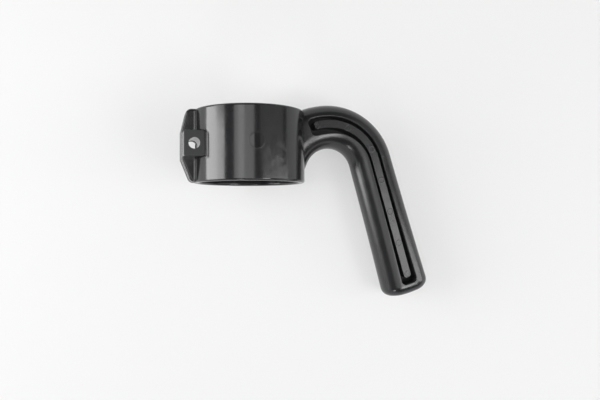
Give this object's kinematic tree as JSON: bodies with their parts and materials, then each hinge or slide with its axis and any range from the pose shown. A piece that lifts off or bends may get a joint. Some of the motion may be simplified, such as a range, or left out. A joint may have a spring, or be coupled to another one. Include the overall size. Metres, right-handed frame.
{
  "type": "trimmer handle",
  "caption": "Moulded clamp-on trimmer handle: a split collar with screw ears and an arm that bends down into a rounded grip with a cored track in its faces.",
  "frame": {"origin": "on the axis of the collar's bore, half-way along the collar", "axes": "+Y along the bore, away from the grip's free end; +X from the bore towards the grip; +Z square to the plane of the handle, on the screw boss's side"},
  "size_m": [0.1711, 0.1319, 0.0738],
  "materials": {
    "black_plastic": "satin to gloss as moulded, matte on the screw boss"
  },
  "bodies": {
    "root": {"clamp_handle": "black_plastic"}
  },
  "joints": []
}
